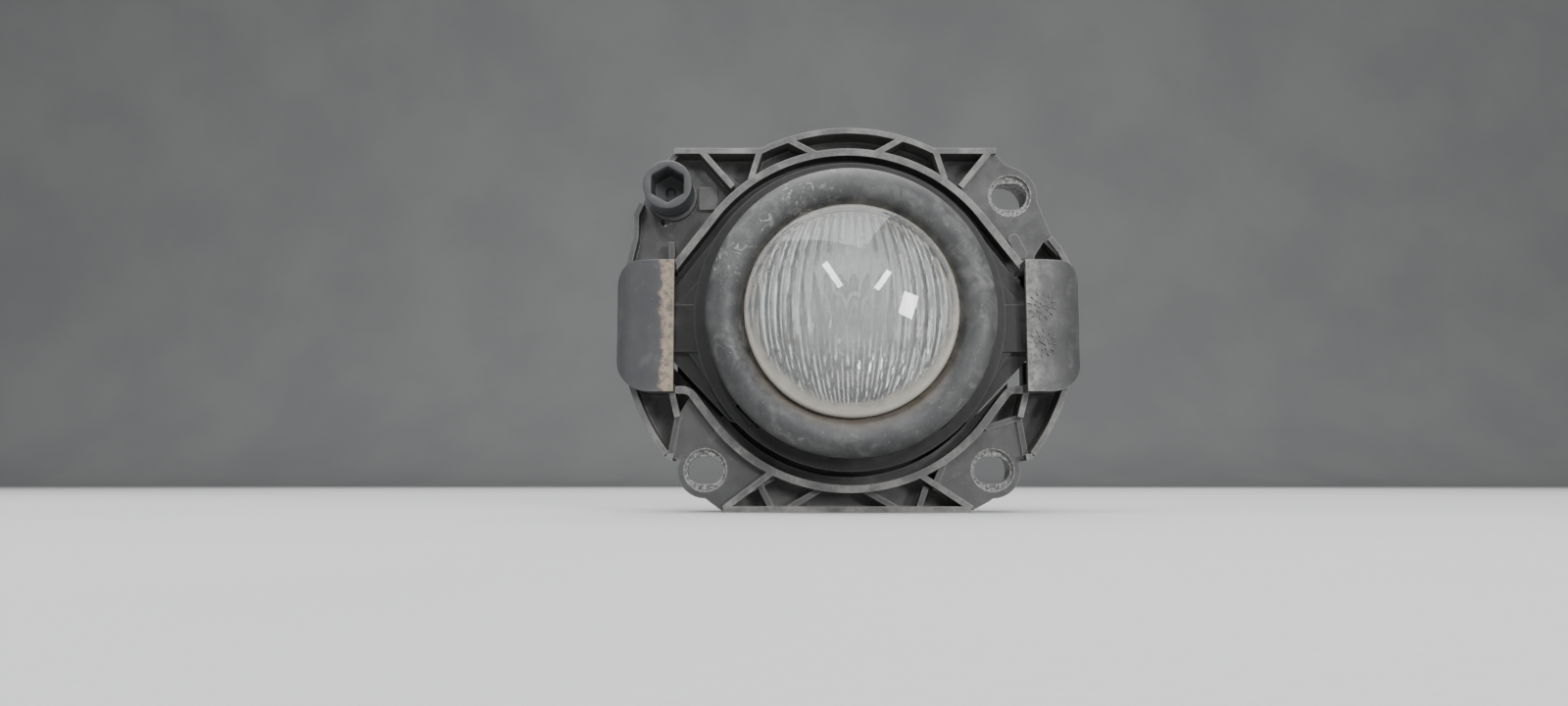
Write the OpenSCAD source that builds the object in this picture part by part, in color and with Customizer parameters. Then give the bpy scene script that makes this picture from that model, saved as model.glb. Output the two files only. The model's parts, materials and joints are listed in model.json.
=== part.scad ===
// Round front fog lamp: a ribbed plastic bracket with three screw slots and two
// pivot ears, and a lamp that tilts between the ears, driven by a hexagon-socket
// adjusting screw. X is to the right seen from the front, -Y is the way the beam
// goes, +Z is up. The origin is on the beam axis, in the plane of the tilt axis.

/* [Bracket] */
// Half of the width over the two pivot ears
ear_x = 47.7; // [47:0.1:48.5]
// Outer radius of the round rim that the lamp looks out through
rim_r = 35.5; // [35.3:0.1:35.7]
// Thickness of the rim
rim_t = 1.5; // [1.2:0.1:1.6]
// Thickness of the ribs and the outer walls
rib_t = 1.2; // [1:0.1:1.4]
// Height of the flat top edge above the beam axis
top_z = 35.6; // [35.4:0.05:35.8]
// Depth of the flat bottom edge below the beam axis
bottom_z = 39.35; // [39.2:0.05:39.6]
// Radius of the hollow behind each screw slot
hole_r = 4.25; // [4:0.05:4.4]
// Length of the slots in the screw plates
slot_l = 7.4; // [7.2:0.1:7.6]
// Width of the slots in the screw plates
slot_w = 5.6; // [5.4:0.1:5.8]
// Radius of the boss around each screw slot
boss_r = 5.7; // [5.5:0.1:5.8]

/* [Lamp] */
// Outer radius of the bezel ring
bezel_r = 28.7; // [28.4:0.1:29]
// Radius of the opening in the bezel ring
lens_r = 21.2; // [21:0.1:21.4]
// Height of the lens's dome
dome_h = 4.6; // [4:0.1:5]
// Radius of the housing's flange behind the bezel
flange_r = 31.3; // [31:0.1:31.5]
// Focal length of the reflector
focal = 10; // [9.8:0.1:10.2]
// Outer radius of the bulb neck
neck_r = 13.4; // [13.2:0.1:13.6]

/* [Adjuster] */
// Width across the flats of the hexagon socket
hex_af = 6.4; // [6.2:0.1:6.6]
// Radius of the screw's head
head_r = 5; // [4.8:0.05:5.1]
// Pitch of the screw's thread
pitch = 2; // [1.75:0.25:2]

/* [Hidden] */
$fn = 96;

far = 80;                     // longer than anything it cuts
lap = 0.3;                    // how far walls run into each other
gap = 0.1;                    // free play between parts that turn

// planes along Y, front to back
rim_y = -9.5;                 // front edge of the rim and the ribs
web_y = -3.2;                 // front of the back web
back_y = 0;                   // back of the web
low_y = -7;                   // front edge of the lower ribs and plates
high_y = -8.5;                // front of the upper plate, almost level with the rim
pad_y = 2.5;                  // back of the screw bosses, the mounting plane
ear_y = -15;                  // front of the ears
pivot_z = -1.8;               // height of the tilt axis; its Y is 0

// screw slots and the adjuster, as [x, z]
holes = [[33.6, 25.7], [29.2, -30.9], [-29.2, -30.9]];
seat_depth = 0.8;             // recess that the screw's washer sits in
floor_t = 3.2;                // from the plate's front to the hollow behind the slot
adjust = [-36.7, 26.35];
corner_y = -4.2;              // floor of the corner that holds the adjuster

// the rim leaves its circle at this angle and runs straight to the ears
tangent = 37.5;
rim_mid = rim_r - rim_t / 2;
rim_in = rim_r - rim_t;
proud = 0.03;                 // how far the rim's straight runs stand out from its arcs
side_r = 46.8;                // radius of the lower outer walls
arc_r = 39.9;                 // radius of the raised arc at the top
arc_x = sqrt(arc_r * arc_r - top_z * top_z);
lip_r = 32.3;                 // inner radius of the lip inside the rim
lip_y = [-5, -4];
ear_in = 35.2;                // inner edge of the ears
ear_t = 1.5;
ear_top = 11.1;
ear_low = -15.4;
ear_round = 9.5;              // roundness of the ears, seen from above

// pivot
pin_r = 3;
bush_r = 4.5;
bush_x = [40.6, 45.6];
bush_lip = 0.6;
slot_half = 2.7;
arm_end = 39.8;
arm_half = 4.8;
arm_front = -12.4;

// lamp planes along Y
seat_y = -14.5;               // the shelf that the lens's foot stands over
flange_y = [-13.5, -11.5];
skirt_y = -21.6;              // where the lens's skirt turns into the dome
lens_in = 19.2;               // inner radius of the lens's skirt
neck_y = 20;                  // back end of the bulb neck
shield_y = [-1, 0.5];         // shield about the plane of the tilt axis
shield_r = 33.3;
bowl_r = 26;
bowl_in = 24.2;
bowl_y = -9.5;
mirror_r = 22.5;
mirror_y = -11.5;
mirror_hole = 10.5;
bore_r = 10.2;

// bayonet of the bulb
groove_y = [14.6, 17];
groove_r = 11.6;
tab_r = 11.3;
tab_a = 30;
plug_r = 9;

// adjuster
head_y = [-15.5, -5.5];
collar_r = 5.2;
collar_t = 1.3;
face_t = 1.5;                 // thickness of the head's front flange
shank_r = 3;
clip_y = [2.2, 3];
clip_r = 4.8;
root_r = 2.4;
crest_r = 2.9;
thread_y = [3.1, 17];
fork_y = [9.2, 11.4];
fork_play = 0.45;
nut_neck = 6.6;
nut_size = 9.4;
nut_t = 1.6;

// ---------------------------------------------------------------- helpers

function on_circle(r, a) = [r * cos(a), r * sin(a)];
// Y of a paraboloid of this focal length with its vertex at v, at radius r
function bowl(v, r) = v - r * r / (4 * focal);
function vertex(r, y) = y + r * r / (4 * focal);

// a drawing in X and Z, made solid between two planes along Y
module slab(y0, y1) {
    translate([0, y1, 0]) rotate([90, 0, 0]) linear_extrude(y1 - y0) children();
}

// a profile of [radius, y], turned about the Y axis
module turned() {
    rotate([-90, 0, 0]) rotate_extrude() children();
}

module rod(r, y0, y1, at = [0, 0]) {
    translate([at[0], y0, at[1]]) rotate([-90, 0, 0]) cylinder(r = r, h = y1 - y0);
}

module both_sides() {
    children();
    mirror([1, 0, 0]) children();
}

// a straight bar between two points
module bar(p, q, t) {
    d = q - p;
    translate(p) rotate(atan2(d[1], d[0])) translate([0, -t / 2]) square([norm(d), t]);
}

// a wedge from the centre, between two angles less than 180 degrees apart
module wedge(a0, a1) {
    mid = (a0 + a1) / 2;
    polygon([[0, 0], on_circle(far, a0), on_circle(far, mid), on_circle(far, a1)]);
}

module ring(r, t) {
    difference() {
        circle(r);
        circle(r - t);
    }
}

module arc(r, t, a0, a1) {
    intersection() {
        ring(r, t);
        wedge(a0, a1);
    }
}

// ---------------------------------------------------------------- bracket

// the silhouette of the whole bracket
module outline() {
    intersection() {
        circle(arc_r);
        translate([-arc_x, 30]) square([2 * arc_x, 12]);
    }
    polygon([[-46.6, 9.6], [-45.9, 11.8], [-44.6, 16.7], [-44.5, 22.7], [-42, 27],
             [-37.4, 33.3], [-35.8, top_z], [30.8, top_z], [30.8, 34.6], [32.8, 32.4],
             [35.8, 31.1], [39.3, 24.5], [42.1, 17.2], [43.7, 14.9], [45.7, 11.6],
             [46.6, 9.6]]);
    intersection() {
        circle(side_r);
        polygon([[-47.2, 10.6], [47.2, 10.6], [46.6, -20.6], [36.8, -28.3], [34.7, -28.8],
                 [34.1, -32.9], [30.5, -36.1], [24.3, -bottom_z], [-25.4, -bottom_z],
                 [-30.5, -36.1], [-34.1, -32.9], [-34.7, -28.8], [-36.8, -28.3],
                 [-46.6, -20.6]]);
    }
    for (h = holes) translate(h) circle(boss_r);
    translate(adjust) circle(6);
}

// the clear space in the middle, where the lamp tilts; its edge lies inside the rim
module opening() {
    edge = rim_in + lap;
    c = cos(tangent);
    s = sin(tangent);
    wide = 36.5;
    circle(edge);
    both_sides_flat()
        polygon([[20, 0], [edge * c, edge * s], [wide, (edge - wide * c) / s],
                 [wide, ear_low + 1.5], [33.6, -14.1], [edge * c, -edge * s]]);
}

module both_sides_flat() {
    children();
    mirror([1, 0]) children();
}

// the rim: two arcs, straight runs to the ears, and the lower ends turned outwards
module rim() {
    t = rim_t + 2 * proud;
    top_end = [36, (rim_mid - 36 * cos(tangent)) / sin(tangent)];
    curl_r = 2.8;
    curl_z = -14.7;
    curl_x = (rim_mid + curl_r - sin(tangent) * (curl_r - curl_z)) / cos(tangent);
    curl = [curl_x, curl_z - curl_r];
    arc(rim_r, rim_t, tangent - 1, 180 - tangent + 1);
    arc(rim_r, rim_t, tangent - 181, -tangent + 1);
    both_sides_flat() {
        bar(on_circle(rim_mid, tangent), top_end, t);
        bar(on_circle(rim_mid, -tangent), curl + on_circle(curl_r, 180 - tangent), t);
        translate(curl) arc(curl_r + rim_t / 2, rim_t, 88, 181 - tangent);
        bar([curl_x, curl_z], [36.6, curl_z], t);
    }
}

module outer_walls() {
    t = rib_t;
    flat_z = top_z - t / 2;
    foot_z = t / 2 - bottom_z;
    intersection() {
        ring(arc_r, t);
        translate([-arc_x - 1, 30]) square([2 * arc_x + 2, 12]);
    }
    bar([-35.9, flat_z], [-arc_x + lap, flat_z], t);
    bar([arc_x - lap, flat_z], [30.8, flat_z], t);
    bar([-25.4, foot_z], [24.3, foot_z], t);
    bar([41.6, 16.6], [43.4, 14.1], t);
    bar([43.2, 14.7], [45.3, 10.6], t);
    both_sides_flat() {
        arc(side_r, t, -36.8, -17);
        bar([35.6, -28.4], [36.9, -28.1], t);
    }
}

// lower walls round the corner that holds the adjuster
module corner_walls() {
    for (run = [[[-35.6, 35], [-37.5, 32.7]], [[-42.8, 24.4], [-43.9, 22]],
                [[-43.9, 22.3], [-44, 16.7]], [[-44, 17], [-45.5, 10.5]]])
        bar(run[0], run[1], rib_t);
}

// ribs that stand as high as the rim, as [start, end]
tall_ribs = [[[-30.3, 34.9], [-23.8, 27.4]], [[29.4, 34.9], [23.3, 27.4]],
             [[-18.2, 35.1], [-20.1, 28.9]], [[18.2, 35.1], [20.1, 28.9]],
             [[-12.2, 37.3], [-6.5, 34.3]], [[11.2, 37.5], [5.5, 34.3]],
             [[-25.2, -38.6], [-15.7, -31.4]], [[24.5, -38.6], [14.4, -32]],
             [[-36.1, -14.6], [-34.8, -20.2]], [[36.1, -14.6], [34.6, -20.3]]];

// ribs that stand a little lower
low_ribs = [[[-18.1, -33.9], [-15.7, -38.8]], [[15.6, -34.3], [14, -38.8]],
            [[-12.4, -38.6], [-5.7, -34.7]], [[9.6, -38.6], [3, -34.9]],
            [[19.4, -29.2], [17.1, -34.5]], [[-34.8, -20], [-36.3, -27.9]],
            [[34.6, -20.1], [35.9, -28.1]], [[34.6, -20.3], [27.7, -22.4]],
            [[38.5, 16.2], [36.5, 10.6]], [[-36.5, 16.2], [-36.3, 10.6]]];

function plate_y(hole) = hole[1] > 0 ? high_y : low_y;

// the flat plates that carry the screw slots
module plate_areas() {
    polygon([[21.2, 25], [29.7, 35.8], [50.8, 35.8], [50.3, 13.3], [33.6, 11]]);
    polygon([[16.9, -34.8], [19.3, -28.4], [27.7, -22.3], [34.6, -20.4], [35.9, -28],
             [35.6, -45], [25.5, -45], [25, -38.5]]);
    polygon([[-15.2, -32.9], [-15.2, -30.4], [-31.8, -14.6], [-34.9, -20.1],
             [-36.3, -27.9], [-36, -45], [-25.9, -45], [-25.5, -38.5]]);
}

// a long round-ended pad on the upper plate
module raised_pad() {
    ends = [[34.2, 16.3], [35.6, 13.5]];
    bar(ends[0], ends[1], 2.4 - 2 * proud);
    for (e = ends) translate(e) circle(1.2);
}

module plates() {
    intersection() {
        outline();
        plate_areas();
    }
}

// outer surface of the right ear, drawn in by inset on its walls
module ear_block(inset) {
    round_r = ear_round - inset;
    x1 = ear_x - inset;
    y0 = ear_y + inset;
    cx = ear_x - ear_round;
    cy = ear_y + ear_round;
    top_r = 5 - inset;
    low_r = 8 - inset;
    x0 = inset > 0 ? ear_in - 5 : ear_in;
    intersection() {
        translate([0, 0, -20]) linear_extrude(40) union() {
            translate([x0, y0]) square([cx - x0, back_y - y0]);
            translate([x0, cy]) square([x1 - x0, back_y - cy]);
            translate([cx, cy]) circle(round_r);
        }
        translate([x0, -20, -20]) cube(40);
        slab(-20, back_y + inset) union() {
            translate([x0, ear_low + inset])
                square([x1 - low_r - x0, ear_top - ear_low - 2 * inset]);
            translate([x0, ear_low + inset + low_r])
                square([x1 - top_r - x0, ear_top - ear_low - 2 * inset - low_r]);
            translate([x0, ear_low + inset + low_r])
                square([x1 - x0, ear_top - ear_low - 2 * inset - low_r - top_r]);
            translate([x1 - low_r, ear_low + inset + low_r]) circle(low_r);
            translate([x1 - top_r, ear_top - inset - top_r]) circle(top_r);
        }
    }
}

module along_x(r, x0, x1) {
    translate([x0, 0, pivot_z]) rotate([0, 90, 0]) cylinder(r = r, h = x1 - x0);
}

module ears() {
    both_sides() {
        difference() {
            ear_block(0);
            ear_block(ear_t);
        }
        // bearing boss for the pivot
        along_x(6.6, bush_x[0], ear_x - ear_t + lap);
    }
}

// the way in for a pivot pin, from behind, a little narrower than the pin
module snap_slot() {
    translate([bush_x[0] - 1, 0, pivot_z - slot_half])
        cube([bush_x[1] - bush_x[0] + 1, 20, 2 * slot_half]);
}

// a slot that lies crosswise, for a screw
module slot_shape() {
    ends = (slot_l - slot_w) / 2;
    square([2 * ends, slot_w], center = true);
    for (x = [-ends, ends]) translate([x, 0]) circle(slot_w / 2);
}

// seat for a washer, the slot, and the hollow behind it
module screw_slot(at) {
    front = plate_y(at);
    rod(hole_r, front - 1, front + seat_depth, at);
    slab(front, pad_y) translate(at) slot_shape();
    rod(hole_r, front + floor_t, pad_y + 1, at);
}

// what stands on the back web, drawn over the whole outline
module walls() {
    slab(rim_y, back_y) {
        outer_walls();
        intersection() {
            outline();
            for (r = tall_ribs) bar(r[0], r[1], rib_t);
        }
    }
    slab(low_y - 0.6, back_y) {
        for (r = low_ribs) bar(r[0], r[1], rib_t);
        corner_walls();
    }
    // raised pad beside the right ear
    slab(high_y - 0.8, low_y) raised_pad();
    slab(high_y, high_y + 2.5) difference() {
        intersection() {
            plates();
            translate([0, 10]) square(50);
        }
        // deep pocket in the corner above the ear
        polygon([[38.3, 9.6], [38.5, 13], [40.4, 16], [44, 12.3], [44, 9.6]]);
    }
    slab(low_y, low_y + 2.5) intersection() {
        plates();
        translate([-50, -50]) square([100, 50]);
    }
    // floor of the adjuster's corner
    slab(corner_y, web_y) intersection() {
        outline();
        polygon([[-50, 11], [-36, 11], [-20.5, 27.5], [-29.5, 35], [-50, 36]]);
    }
    // block between the adjuster's boss and the rim
    slab(corner_y - 1, web_y) translate([-31, 23.5]) square([3.8, 4.9]);
}

// corners beside the ears that close the gap round the lamp's shield
lip_corners = [[[20, 20], [25.8, 23.3], [33.2, 13.8], [33.3, 9.5], [27.5, 16.8]],
               [[-20, 20], [-25.8, 23.3], [-36, 10.2], [-37, 10.2], [-37, 4.8],
                [-27.5, 16.8]],
               [[20, -20], [25.8, -23.3], [32.8, -15.2], [33, -13], [24, -22.2]],
               [[-20, -20], [-25.8, -23.3], [-32.8, -15.2], [-33.5, -14.6], [-37, -14.6],
                [-37, -8.8], [-24, -22.2]]];

// the lip inside the rim
module lip() {
    difference() {
        union() {
            for (a = [tangent, tangent - 180]) intersection() {
                circle(rim_in + lap);
                wedge(a, a + 180 - 2 * tangent);
            }
            for (c = lip_corners) polygon(c);
        }
        circle(lip_r);
    }
}

module bracket() color("#3a3b3c") difference() {
    union() {
        slab(web_y, back_y) difference() {
            outline();
            opening();
            both_sides_flat() translate([30, pivot_z - 6.7]) square([10.6, 13.4]);
        }
        difference() {
            walls();
            slab(rim_y - 1, back_y) opening();
        }
        slab(rim_y, back_y) rim();
        for (h = holes) rod(boss_r, plate_y(h), pad_y, h);
        rod(6, corner_y, 2, adjust);
        // collar that carries the rim on behind the web
        for (a = [tangent, tangent - 180])
            slab(back_y - lap, pad_y) arc(rim_r, rim_t, a, a + 180 - 2 * tangent);
        slab(lip_y[0], lip_y[1]) lip();
        ears();
    }
    for (h = holes) screw_slot(h);
    rod(shank_r + gap, -20, 20, adjust);
    // core hole beside the adjuster's boss
    rod(0.9, -20, 20, adjust + [-1.6, -5.2]);
    both_sides() {
        along_x(bush_r, bush_x[0] - 1, bush_x[1]);
        snap_slot();
    }
}

module pivot_bush() color("#d8d6cc") difference() {
    union() {
        along_x(bush_r, bush_x[0], bush_x[1] - gap);
        along_x(bush_r + 1.2, bush_x[0] - bush_lip, bush_x[0]);
    }
    along_x(pin_r + 0.05, bush_x[0] - 1, bush_x[1] + 1);
    snap_slot();
}

module pivot_bush_right() pivot_bush();

module pivot_bush_left() mirror([1, 0, 0]) pivot_bush();

// ---------------------------------------------------------------- lamp

steps = 10;
v_out = vertex(bowl_r, bowl_y);
v_in = vertex(bowl_in, bowl_y);
v_mirror = vertex(mirror_r, mirror_y);

// points along a paraboloid, from radius r0 to r1
function sweep_points(v, r0, r1) =
    [for (i = [0:steps]) let (r = r0 + (r1 - r0) * i / steps) [r, bowl(v, r)]];

module housing_shell() turned() polygon(concat(
    [[bore_r, neck_y], [neck_r, neck_y]],
    sweep_points(v_out, neck_r, bowl_r),
    [[bowl_r, flange_y[1]], [flange_r, flange_y[1]], [flange_r, flange_y[0]],
     [26.2, flange_y[0]], [26.2, -17.2], [24.7, -17.2], [24.7, seat_y],
     [20.6, seat_y], [20.6, -12.7], [bowl_in, -12.7]],
    sweep_points(v_in, bowl_in, bore_r)));

module cavity() turned() polygon(concat(
    [[0, neck_y + 1], [bore_r, neck_y + 1]],
    sweep_points(v_in, bore_r, bowl_in),
    [[bowl_in, -12.7], [20.6, -12.7], [20.6, -20], [0, -20]]));

module pivot_arm() {
    // block, raised plate, the wing behind it and the pivot pin
    translate([14, arm_front, pivot_z - 0.7 - arm_half])
        cube([arm_end - 14, 1.5 - arm_front, 2 * arm_half]);
    slab(flange_y[0] + 1.6, flange_y[1] + 1.2)
        polygon([[24, 15], [28.5, 9.7], [34.3, 2.9], [36.2, 2], [36.2, -6.5], [32.6, -7.4],
                 [28.3, -13.3], [24, -15]]);
    slab(flange_y[1] + 0.7, flange_y[1] + 2.4)
        polygon([[20, 22], [24.6, 19.7], [36.3, 4.8], [36.3, -8.3], [24, -21.2], [20, -22]]);
    along_x(pin_r, arm_end - 1, bush_x[1] - 0.4);
}

module adjuster_arm() {
    a = atan2(adjust[1] - 3, adjust[0]);
    slab(fork_y[0], fork_y[1]) difference() {
        union() {
            bar([0, 0], [adjust[0] + 2, adjust[1] - 5], 11);
            translate([adjust[0] - 5.6, adjust[1] - 8]) square([11.2, 12.6]);
        }
        translate([adjust[0] - nut_neck / 2 - 0.2, adjust[1] - nut_neck / 2 - 1])
            square([nut_neck + 0.4, 20]);
        circle(neck_r - 1);
    }
    // stiffening rib between the arm and the bowl
    rotate([0, -a, 0]) translate([12, -2, -1.1]) cube([11, fork_y[0] + 2.5, 2.2]);
}

// fins between the flange and the neck
module fins() {
    for (a = [15, 90, 125, 165, 245, 295]) rotate([0, a, 0])
        translate([0, 0, -0.7]) linear_extrude(1.4)
            polygon([[flange_r - 3, flange_y[1] - lap], [flange_r - 3, -8], [neck_r + 1.5, 12],
                     [neck_r - 1, 14], [neck_r - 1, flange_y[1] - lap]]);
}

breather = [10.5, -14.5];

module lamp_housing() color("#2c2d2e") difference() {
    union() {
        housing_shell();
        difference() {
            union() {
                both_sides() pivot_arm();
                adjuster_arm();
                fins();
                // shield that closes the rim's opening behind the lamp, wider on the left
                slab(shield_y[0], shield_y[1]) {
                    circle(shield_r);
                    polygon([[-20, 20], [-26, 20.2], [-35.6, 7.8], [-35.6, -12.8],
                             [-33, -13], [-26, -20.2], [-20, -20]]);
                }
                rod(2.4, -6, 9, breather);
            }
            cavity();
        }
        // rolled edge on the end of the neck
        turned() translate([neck_r - lap, neck_y - 3.2]) square([1.3, 1.6]);
    }
    // bayonet groove and its three entry slots
    turned() translate([bore_r - 1, groove_y[0]]) square([groove_r - bore_r + 1, 2.4]);
    slab(groove_y[0] + 1, neck_y + 1) intersection() {
        circle(groove_r);
        for (a = [45, 165, 285]) wedge(a - tab_a / 2 - 1.5, a + tab_a / 2 + 1.5);
    }
    // slots for the bezel's hooks
    for (a = [45:90:315])
        rotate([0, a, 0]) translate([27, -16, -3.2]) cube([2.1, 6, 6.4]);
    // breather hole
    rod(1.5, -10, 20, breather);
}

module reflector() color("#e4e6e8") turned() polygon(concat(
    sweep_points(v_mirror, mirror_hole, mirror_r),
    [[mirror_r, -12.6], [bowl_in - gap, -12.6], [bowl_in - gap, mirror_y]],
    sweep_points(v_mirror + 1.3, mirror_r, mirror_hole)));

// the lens: a foot in the groove, a skirt, a rounded shoulder and a dome
dome_r = (dome_h * dome_h + 20 * 20) / (2 * dome_h);
module lens() color("#dfe6ea", 0.5) {
    foot_y = seat_y - 0.8;
    apex = skirt_y - dome_h;
    turned() difference() {
        union() {
            intersection() {
                translate([0, apex + dome_r]) circle(dome_r);
                translate([0, apex - 1]) square([20, dome_h + 1.1]);
            }
            translate([0, skirt_y]) square([20, foot_y - skirt_y]);
            translate([0, skirt_y + 1]) square([21, foot_y - skirt_y - 1]);
            intersection() {
                translate([20, skirt_y + 1]) circle(1);
                translate([19, skirt_y - 1]) square([3, 2]);
            }
            translate([0, foot_y - 2.2]) square([23.6, 2.2]);
        }
        intersection() {
            translate([0, apex + dome_r + 3]) circle(dome_r + 0.6);
            translate([-lap, apex]) square([lens_in + lap, 20]);
        }
        translate([-lap, skirt_y + 2]) square([lens_in + lap, 20]);
        translate([-far, -far / 2]) square([far, far]);
    }
}

module lens_sealant() color("#b9b29c") turned() polygon([
    [20.7, seat_y], [24.6, seat_y], [24.6, -16.9], [23.7, -16.9], [23.7, seat_y - 0.8],
    [20.7, seat_y - 0.8]]);

// the bezel: a hollow roll with a skirt, an inner lip and four hooks
module bezel_ring() color("#454647") {
    crown = [25.2, -18.7];
    roll = bezel_r - crown[0];
    turned() difference() {
        union() {
            intersection() {
                translate(crown) circle(roll);
                translate([20, -25]) square([12, 6.4]);
            }
            // inner slope, down to the lens
            polygon([[lens_r, -18], [lens_r, -18.9], [crown[0] - 2.2, crown[1] - 2.72],
                     [crown[0], crown[1]], [crown[0], -18]]);
            translate([bezel_r - 1.7, crown[1] - 0.2]) square([1.7, 5.2]);
        }
        translate(crown) circle(roll - 1.4);
        translate([23.7, -18.7]) square([3.3, 6]);
    }
    for (a = [45:90:315]) rotate([0, a, 0]) {
        translate([27.2, -14, -2.8]) cube([1.2, 4, 5.6]);
        translate([27.2, -11.3, -2.8]) cube([1.7, 1, 5.6]);
    }
}

module breather_cap() color("#1d1d1e") difference() {
    union() {
        rod(3.9, 3, 12, breather);
        rod(4.4, 3, 5, breather);
    }
    rod(2.45, 0, 9.2, breather);
    for (a = [0, 90]) translate([breather[0], 10, breather[1]]) rotate([0, a, 0])
        translate([-5, 0, -0.5]) cube([10, 1, 1]);
}

// ---------------------------------------------------------------- adjuster

module adjuster_screw() color("#35373a") difference() {
    union() {
        rod(head_r, head_y[0], head_y[0] + face_t, adjust);
        rod(head_r - 0.5, head_y[0], head_y[1], adjust);
        rod(head_r - 0.2, head_y[0] + face_t + 0.7, head_y[1] - 1.2, adjust);
        rod(collar_r, head_y[1], head_y[1] + collar_t - gap, adjust);
        rod(shank_r, head_y[1], clip_y[0], adjust);
        rod(root_r, clip_y[0] - 1, thread_y[1] + 0.8, adjust);
        // thread, drawn as rings of the thread's pitch
        translate([adjust[0], 0, adjust[1]]) turned()
            for (y = [thread_y[0]:pitch:thread_y[1] - pitch])
                polygon([[root_r - lap, y], [root_r, y], [crest_r, y + 0.35 * pitch],
                         [crest_r, y + 0.55 * pitch], [root_r, y + 0.9 * pitch],
                         [root_r - lap, y + 0.9 * pitch]]);
    }
    translate([adjust[0], head_y[0] - 1, adjust[1]]) rotate([-90, 30, 0])
        cylinder(d = hex_af / cos(30), h = 8, $fn = 6);
    rod(1.1, head_y[0], head_y[0] + 8, adjust);
}

module retaining_clip() color("#9a9c9e") slab(clip_y[0] + 0.05, clip_y[1] + 0.05)
    translate(adjust) difference() {
        circle(clip_r);
        circle(root_r);
        for (a = [60, 180, 300]) rotate(a) translate([0, -0.6]) square([3.8, 1.2]);
    }

module block(size, y0, y1) {
    slab(y0, y1) translate(adjust - [size, size] / 2) square(size);
}

module adjuster_nut() color("#e9e7dd") difference() {
    union() {
        block(nut_size, fork_y[0] - fork_play - nut_t, fork_y[0] - fork_play);
        block(nut_neck, fork_y[0] - fork_play - lap, fork_y[1] + fork_play + lap);
        block(nut_size, fork_y[1] + fork_play, fork_y[1] + fork_play + nut_t);
    }
    rod(crest_r + gap, 0, 30, adjust);
}

// ---------------------------------------------------------------- bulb

glass_r = 5.4;
tip_y = -15.5;
focus_y = v_mirror - focal;

module bulb_glass() color("#e8eef2", 0.4) turned() difference() {
    intersection() {
        union() {
            translate([0, tip_y + glass_r]) circle(glass_r);
            translate([0, tip_y + glass_r]) square([glass_r, 7 - tip_y - glass_r]);
        }
        translate([0, -40]) square([glass_r, 47]);
    }
    translate([0, tip_y + glass_r]) circle(glass_r - 0.8);
    translate([-lap, tip_y + glass_r]) square([glass_r - 0.8 + lap, 5 - tip_y - glass_r]);
}

support_x = 2.9;
module bulb_filament() color("#8f8c88")
    translate([0.35 - support_x, focus_y, 0]) rotate([0, 90, 0])
        cylinder(r = 0.75, h = 2 * support_x - 0.7);

module filament_supports() color("#b5b2ac") for (x = [-support_x, support_x])
    rod(0.35, focus_y - 0.8, 4.9, [x, 0]);

module bulb_collar() color("#b9bbbd") turned() {
    polygon([[glass_r + 0.05, 1], [glass_r + 0.8, 1], [glass_r + 0.8, 5], [8.6, 7.1],
             [8.6, 9.9], [glass_r + 0.05, 9.9]]);
}

base_y = [20.1, 22.4];
shroud_x = 9.6;
shroud_y = [24.6, 38.4];
shroud_z = -21.3;
shroud_top = 7.5;
shroud_wall = 1.8;
terminal_x = 3.2;
terminal_y = 31.1;

// a rounded rectangle about the middle of the plug's shroud, in X and Y
module shroud_shape(half_x, half_y, r) {
    mid_y = (shroud_y[0] + shroud_y[1]) / 2;
    translate([0, mid_y]) {
        square([2 * half_x, 2 * (half_y - r)], center = true);
        square([2 * (half_x - r), 2 * half_y], center = true);
        for (x = [-1, 1], y = [-1, 1]) translate([x * (half_x - r), y * (half_y - r)]) circle(r);
    }
}

module bulb_base() color("#1b1b1d") {
    half_y = (shroud_y[1] - shroud_y[0]) / 2;
    difference() {
        union() {
            rod(plug_r, 10, base_y[0] + lap);
            rod(12.6, base_y[0], base_y[1]);
            rod(10.4, base_y[1] - lap, shroud_y[0] + 2);
            // bayonet tabs
            slab(groove_y[0] + 0.2, groove_y[1] - 0.3) intersection() {
                circle(tab_r);
                for (a = [90, 210, 330]) wedge(a - tab_a / 2, a + tab_a / 2);
            }
            // body, with a thicker rim round the mouth of the socket
            translate([0, 0, shroud_z]) linear_extrude(shroud_top - shroud_z)
                shroud_shape(shroud_x, half_y, 2.4);
            translate([0, 0, shroud_z + 1.4]) linear_extrude(1.6)
                shroud_shape(shroud_x + 0.7, half_y + 0.7, 2.8);
            // latch ramp on the back, grip ribs on the top
            translate([-3, shroud_y[1] - lap, shroud_z + 5]) cube([6, 1.6, 3.4]);
            for (z = [0, 2.4, 4.8]) translate([-7, shroud_y[1] - lap, z]) cube([14, 1, 1.2]);
            // finger tabs to turn the bulb by
            for (a = [60, 120]) rotate([0, a, 0]) translate([-14.4, base_y[0], -2.2])
                cube([5, 1.6, 4.4]);
        }
        // the plug's socket
        translate([0, 0, shroud_z - 1]) linear_extrude(14)
            shroud_shape(shroud_x - shroud_wall, half_y - shroud_wall, 1);
        // groove for the seal
        turned() translate([plug_r - 0.95, 11.4]) square([5, 2]);
        for (x = [-terminal_x, terminal_x])
            translate([x - 1.4, terminal_y, -9]) cube([2.8, 0.8, 8]);
    }
}

module bulb_seal() color("#7a3b2a") turned()
    translate([plug_r + 0.05, 12.4]) circle(0.95);

module terminal(x) color("#c9c6b8")
    translate([x - 1.4, terminal_y, -15.6]) cube([2.8, 0.8, 14.6]);

module terminal_left() terminal(-terminal_x);

module terminal_right() terminal(terminal_x);

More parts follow.
